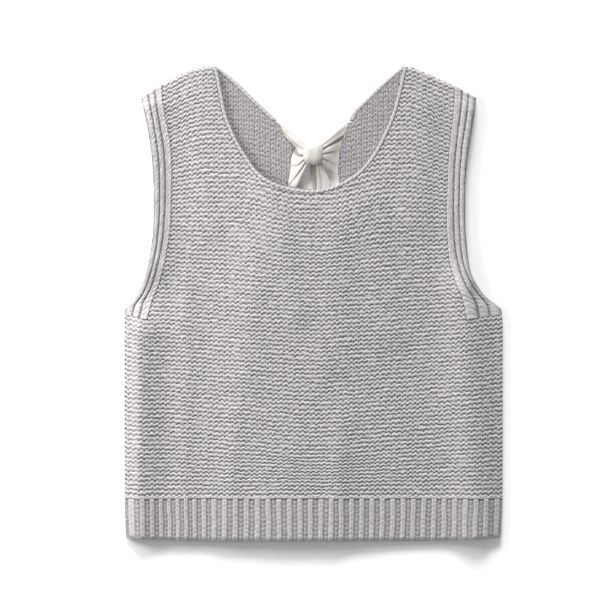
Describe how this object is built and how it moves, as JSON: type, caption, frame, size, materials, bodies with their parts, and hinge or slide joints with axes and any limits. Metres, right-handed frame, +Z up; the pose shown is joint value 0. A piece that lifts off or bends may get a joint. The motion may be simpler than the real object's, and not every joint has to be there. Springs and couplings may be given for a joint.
{
  "type": "knitted sweater vest",
  "caption": "Cropped sleeveless knitted vest laid flat, with a scooped front, ribbed hem and armholes, and a V back closed by a knotted satin tie over a slit.",
  "frame": {"origin": "On the surface that the vest lies on, under the middle of its bounding box.", "axes": "+X to the right of the picture, which is the wearer's left, +Y from the hem to the neck, +Z up from the surface out of the front."},
  "size_m": [0.416, 0.5225, 0.0102],
  "materials": {
    "body_knit": "chunky purl knit of melange pale grey wool blend, matt and slightly fuzzy",
    "rib_knit": "ribbed knit of the same melange pale grey yarn, matt and slightly fuzzy",
    "satin": "soft off-white satin ribbon with a low sheen"
  },
  "bodies": {
    "root": {"front_body": "body_knit", "back_body": "body_knit", "front_hem_rib": "rib_knit", "back_hem_rib": "rib_knit", "front_armhole_band_left": "rib_knit", "front_armhole_band_right": "rib_knit", "back_armhole_band_left": "rib_knit", "back_armhole_band_right": "rib_knit", "front_neck_edge": "rib_knit", "back_neck_edge_left": "rib_knit", "back_neck_edge_right": "rib_knit", "satin_tie_left": "satin", "satin_tie_right": "satin", "tie_knot": "satin", "tie_end_upper": "satin", "tie_end_lower": "satin"}
  },
  "joints": []
}
